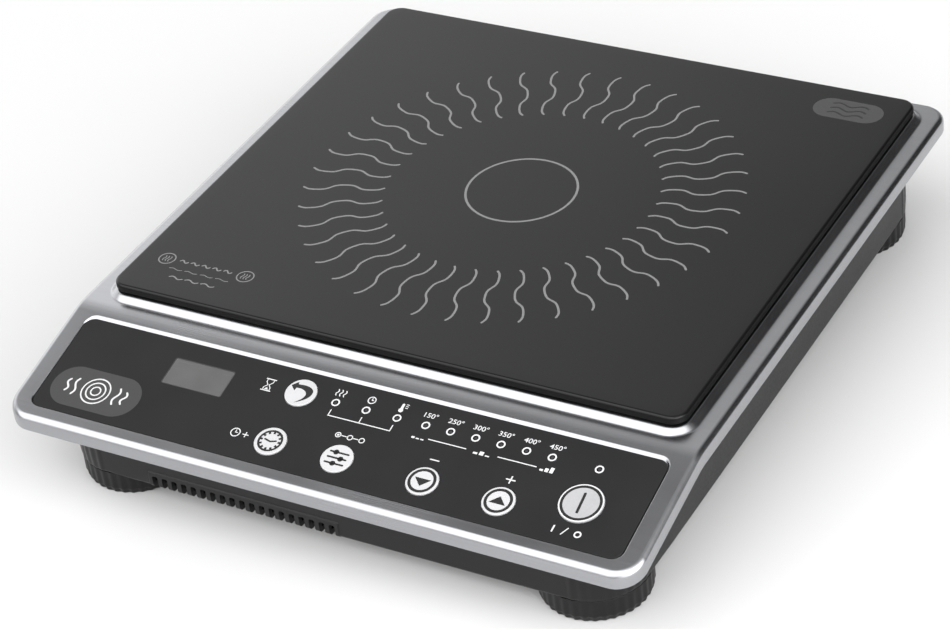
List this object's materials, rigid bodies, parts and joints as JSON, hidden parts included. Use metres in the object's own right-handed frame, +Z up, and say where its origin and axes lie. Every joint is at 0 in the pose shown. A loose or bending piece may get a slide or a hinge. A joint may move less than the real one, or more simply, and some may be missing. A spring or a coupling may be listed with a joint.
{
  "type": "countertop induction cooktop",
  "caption": "Low countertop induction cooktop: square black glass plate raised on a brushed steel housing, sloped front control panel with round keys, dark tray on round ribbed feet.",
  "frame": {"origin": "centre of the footprint, on the plane the feet stand on", "axes": "+Z up; +X to the user's right; -Y towards the user, where the control panel slopes down; +Y to the rear"},
  "size_m": [0.328, 0.364, 0.0725],
  "materials": {
    "steel": "brushed stainless sheet, fine straight grain",
    "black_glass": "polished black glass ceramic, opaque",
    "seal_rubber": "matt silicone",
    "tray_plastic": "fine spark-eroded texture",
    "foot_rubber": "matt moulded rubber",
    "screw_steel": "zinc plated",
    "overlay_film": "satin printed film",
    "window_plastic": "smoked clear plastic",
    "dark_plastic": "matt moulded",
    "clear_plastic": "clear moulded",
    "key_plastic": "satin white",
    "circuit_board": "solder resist",
    "former_plastic": "glass-filled moulding",
    "coil_winding": "enamelled stranded winding",
    "mica": "pressed mica sheet",
    "ceramic": "matt ceramic",
    "ferrite": "sintered ferrite",
    "heatsink_aluminium": "extruded",
    "capacitor_plastic": "box film capacitor case",
    "gland_rubber": "matt moulded",
    "lead_red": "silicone insulation",
    "lead_blue": "silicone insulation",
    "ribbon_grey": "flat cable insulation"
  },
  "bodies": {
    "chassis": {"top_housing": "steel", "glass_top": "black_glass", "glass_seal": "seal_rubber", "base_tray": "tray_plastic", "foot_front_left": "foot_rubber", "foot_screw_front_left": "screw_steel", "foot_front_right": "foot_rubber", "foot_screw_front_right": "screw_steel", "foot_rear_left": "foot_rubber", "foot_screw_rear_left": "screw_steel", "foot_rear_right": "foot_rubber", "foot_screw_rear_right": "screw_steel", "housing_screw_front_left": "screw_steel", "housing_screw_front_right": "screw_steel", "housing_screw_rear_left": "screw_steel", "housing_screw_rear_right": "screw_steel", "control_overlay": "overlay_film", "display_window": "window_plastic", "display_module": "dark_plastic", "led_light_guide": "clear_plastic", "switch_reset": "dark_plastic", "switch_set_time": "dark_plastic", "switch_function": "dark_plastic", "switch_down": "dark_plastic", "switch_up": "dark_plastic", "switch_power": "dark_plastic", "control_board": "circuit_board", "coil_former": "former_plastic", "induction_coil": "coil_winding", "mica_sheet": "mica", "thermal_sensor": "ceramic", "ferrite_1": "ferrite", "ferrite_2": "ferrite", "ferrite_3": "ferrite", "ferrite_4": "ferrite", "ferrite_5": "ferrite", "ferrite_6": "ferrite", "power_board": "circuit_board", "heatsink": "heatsink_aluminium", "igbt": "dark_plastic", "bridge_rectifier": "dark_plastic", "resonant_capacitor": "capacitor_plastic", "filter_capacitor": "capacitor_plastic", "choke_toroid": "coil_winding", "fuse": "ceramic", "terminal_block": "ceramic", "fan_frame": "dark_plastic", "cord_gland": "gland_rubber", "coil_lead_a": "lead_red", "coil_lead_b": "lead_blue", "ribbon_cable": "ribbon_grey"},
    "key_reset_body": {"key_reset": "key_plastic"},
    "key_set_time_body": {"key_set_time": "key_plastic"},
    "key_function_body": {"key_function": "key_plastic"},
    "key_down_body": {"key_down": "key_plastic"},
    "key_up_body": {"key_up": "key_plastic"},
    "key_power_body": {"key_power": "key_plastic"},
    "fan_rotor_body": {"fan_rotor": "dark_plastic"}
  },
  "joints": [
    {"name": "key_reset_press", "type": "slide", "parent": "chassis", "child": "key_reset_body", "axis": [0, 0.2339, -0.9723], "range_m": [0, 0.0005], "stiffness_N_per_m": 3000, "springref_m": -0.0001},
    {"name": "key_set_time_press", "type": "slide", "parent": "chassis", "child": "key_set_time_body", "axis": [0, 0.2339, -0.9723], "range_m": [0, 0.0005], "stiffness_N_per_m": 3000, "springref_m": -0.0001},
    {"name": "key_function_press", "type": "slide", "parent": "chassis", "child": "key_function_body", "axis": [0, 0.2339, -0.9723], "range_m": [0, 0.0005], "stiffness_N_per_m": 3000, "springref_m": -0.0001},
    {"name": "key_down_press", "type": "slide", "parent": "chassis", "child": "key_down_body", "axis": [0, 0.2339, -0.9723], "range_m": [0, 0.0005], "stiffness_N_per_m": 3000, "springref_m": -0.0001},
    {"name": "key_up_press", "type": "slide", "parent": "chassis", "child": "key_up_body", "axis": [0, 0.2339, -0.9723], "range_m": [0, 0.0005], "stiffness_N_per_m": 3000, "springref_m": -0.0001},
    {"name": "key_power_press", "type": "slide", "parent": "chassis", "child": "key_power_body", "axis": [0, 0.2339, -0.9723], "range_m": [0, 0.0005], "stiffness_N_per_m": 3000, "springref_m": -0.0001},
    {"name": "fan_spin", "type": "hinge", "parent": "chassis", "child": "fan_rotor_body", "pos_m": [-0.088, -0.088, 0.0285], "axis": [0, 0, 1], "continuous": true}
  ]
}
